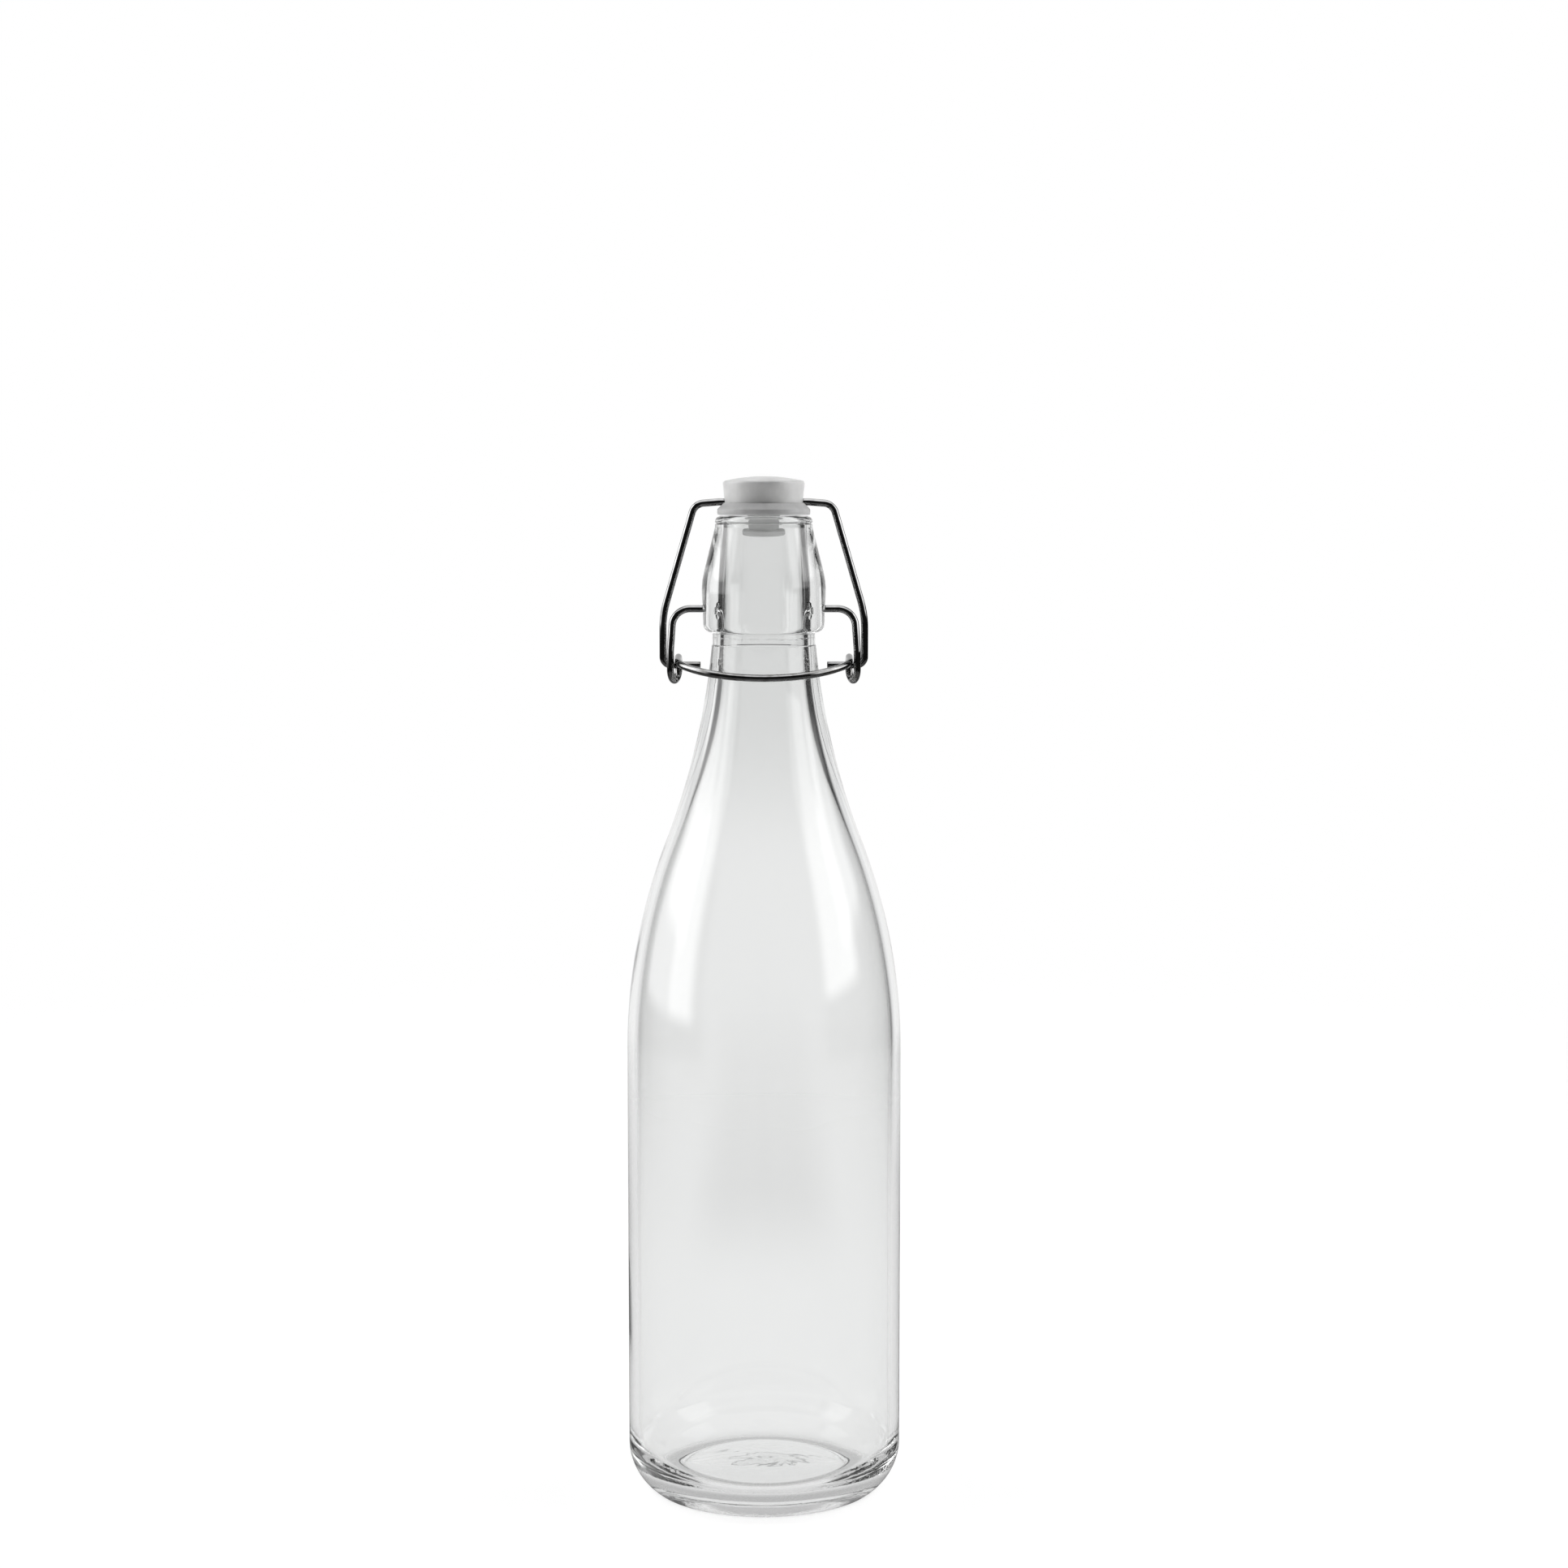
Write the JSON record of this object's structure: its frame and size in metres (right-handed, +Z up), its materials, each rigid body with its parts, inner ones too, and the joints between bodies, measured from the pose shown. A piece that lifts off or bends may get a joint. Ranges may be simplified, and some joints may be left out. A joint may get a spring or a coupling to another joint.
{
  "type": "swing top bottle",
  "caption": "Clear round glass bottle with a wire lever and bail that clamp a plastic stopper with a rubber gasket.",
  "frame": {"origin": "middle of the standing ring, on the surface that the bottle stands on", "axes": "+Z up along the bottle's axis; the lever's loop is at the front, -Y; the wire ends enter the glass along X"},
  "size_m": [0.086, 0.086, 0.3191],
  "materials": {
    "clear_glass": "clear flint glass, fire polished",
    "plated_wire": "bright plated spring wire",
    "white_plastic": "moulded, satin",
    "pale_rubber": "translucent moulded silicone rubber"
  },
  "bodies": {
    "bottle": {"glass_bottle": "clear_glass"},
    "lever": {"lever_wire": "plated_wire"},
    "bail": {"bail_wire": "plated_wire"},
    "stopper": {"stopper": "white_plastic", "gasket": "pale_rubber"}
  },
  "joints": [
    {"name": "lever_pivot", "type": "hinge", "parent": "bottle", "child": "lever", "pos_m": [0, 0, 0.27813], "axis": [-1, 0, 0], "range_deg": [0, 95]},
    {"name": "bail_pivot", "type": "hinge", "parent": "lever", "child": "bail", "pos_m": [0, 0.0017, 0.26053], "axis": [1, 0, 0], "range_deg": [0, 63]},
    {"name": "stopper_pivot", "type": "hinge", "parent": "bail", "child": "stopper", "pos_m": [0, 0, 0.31118], "axis": [1, 0, 0], "range_deg": [0, 26.9]}
  ],
  "couplings": [
    {"joint": "bail_pivot", "follows": "lever_pivot", "ratio": 0.66},
    {"joint": "stopper_pivot", "follows": "lever_pivot", "ratio": 0.28}
  ]
}
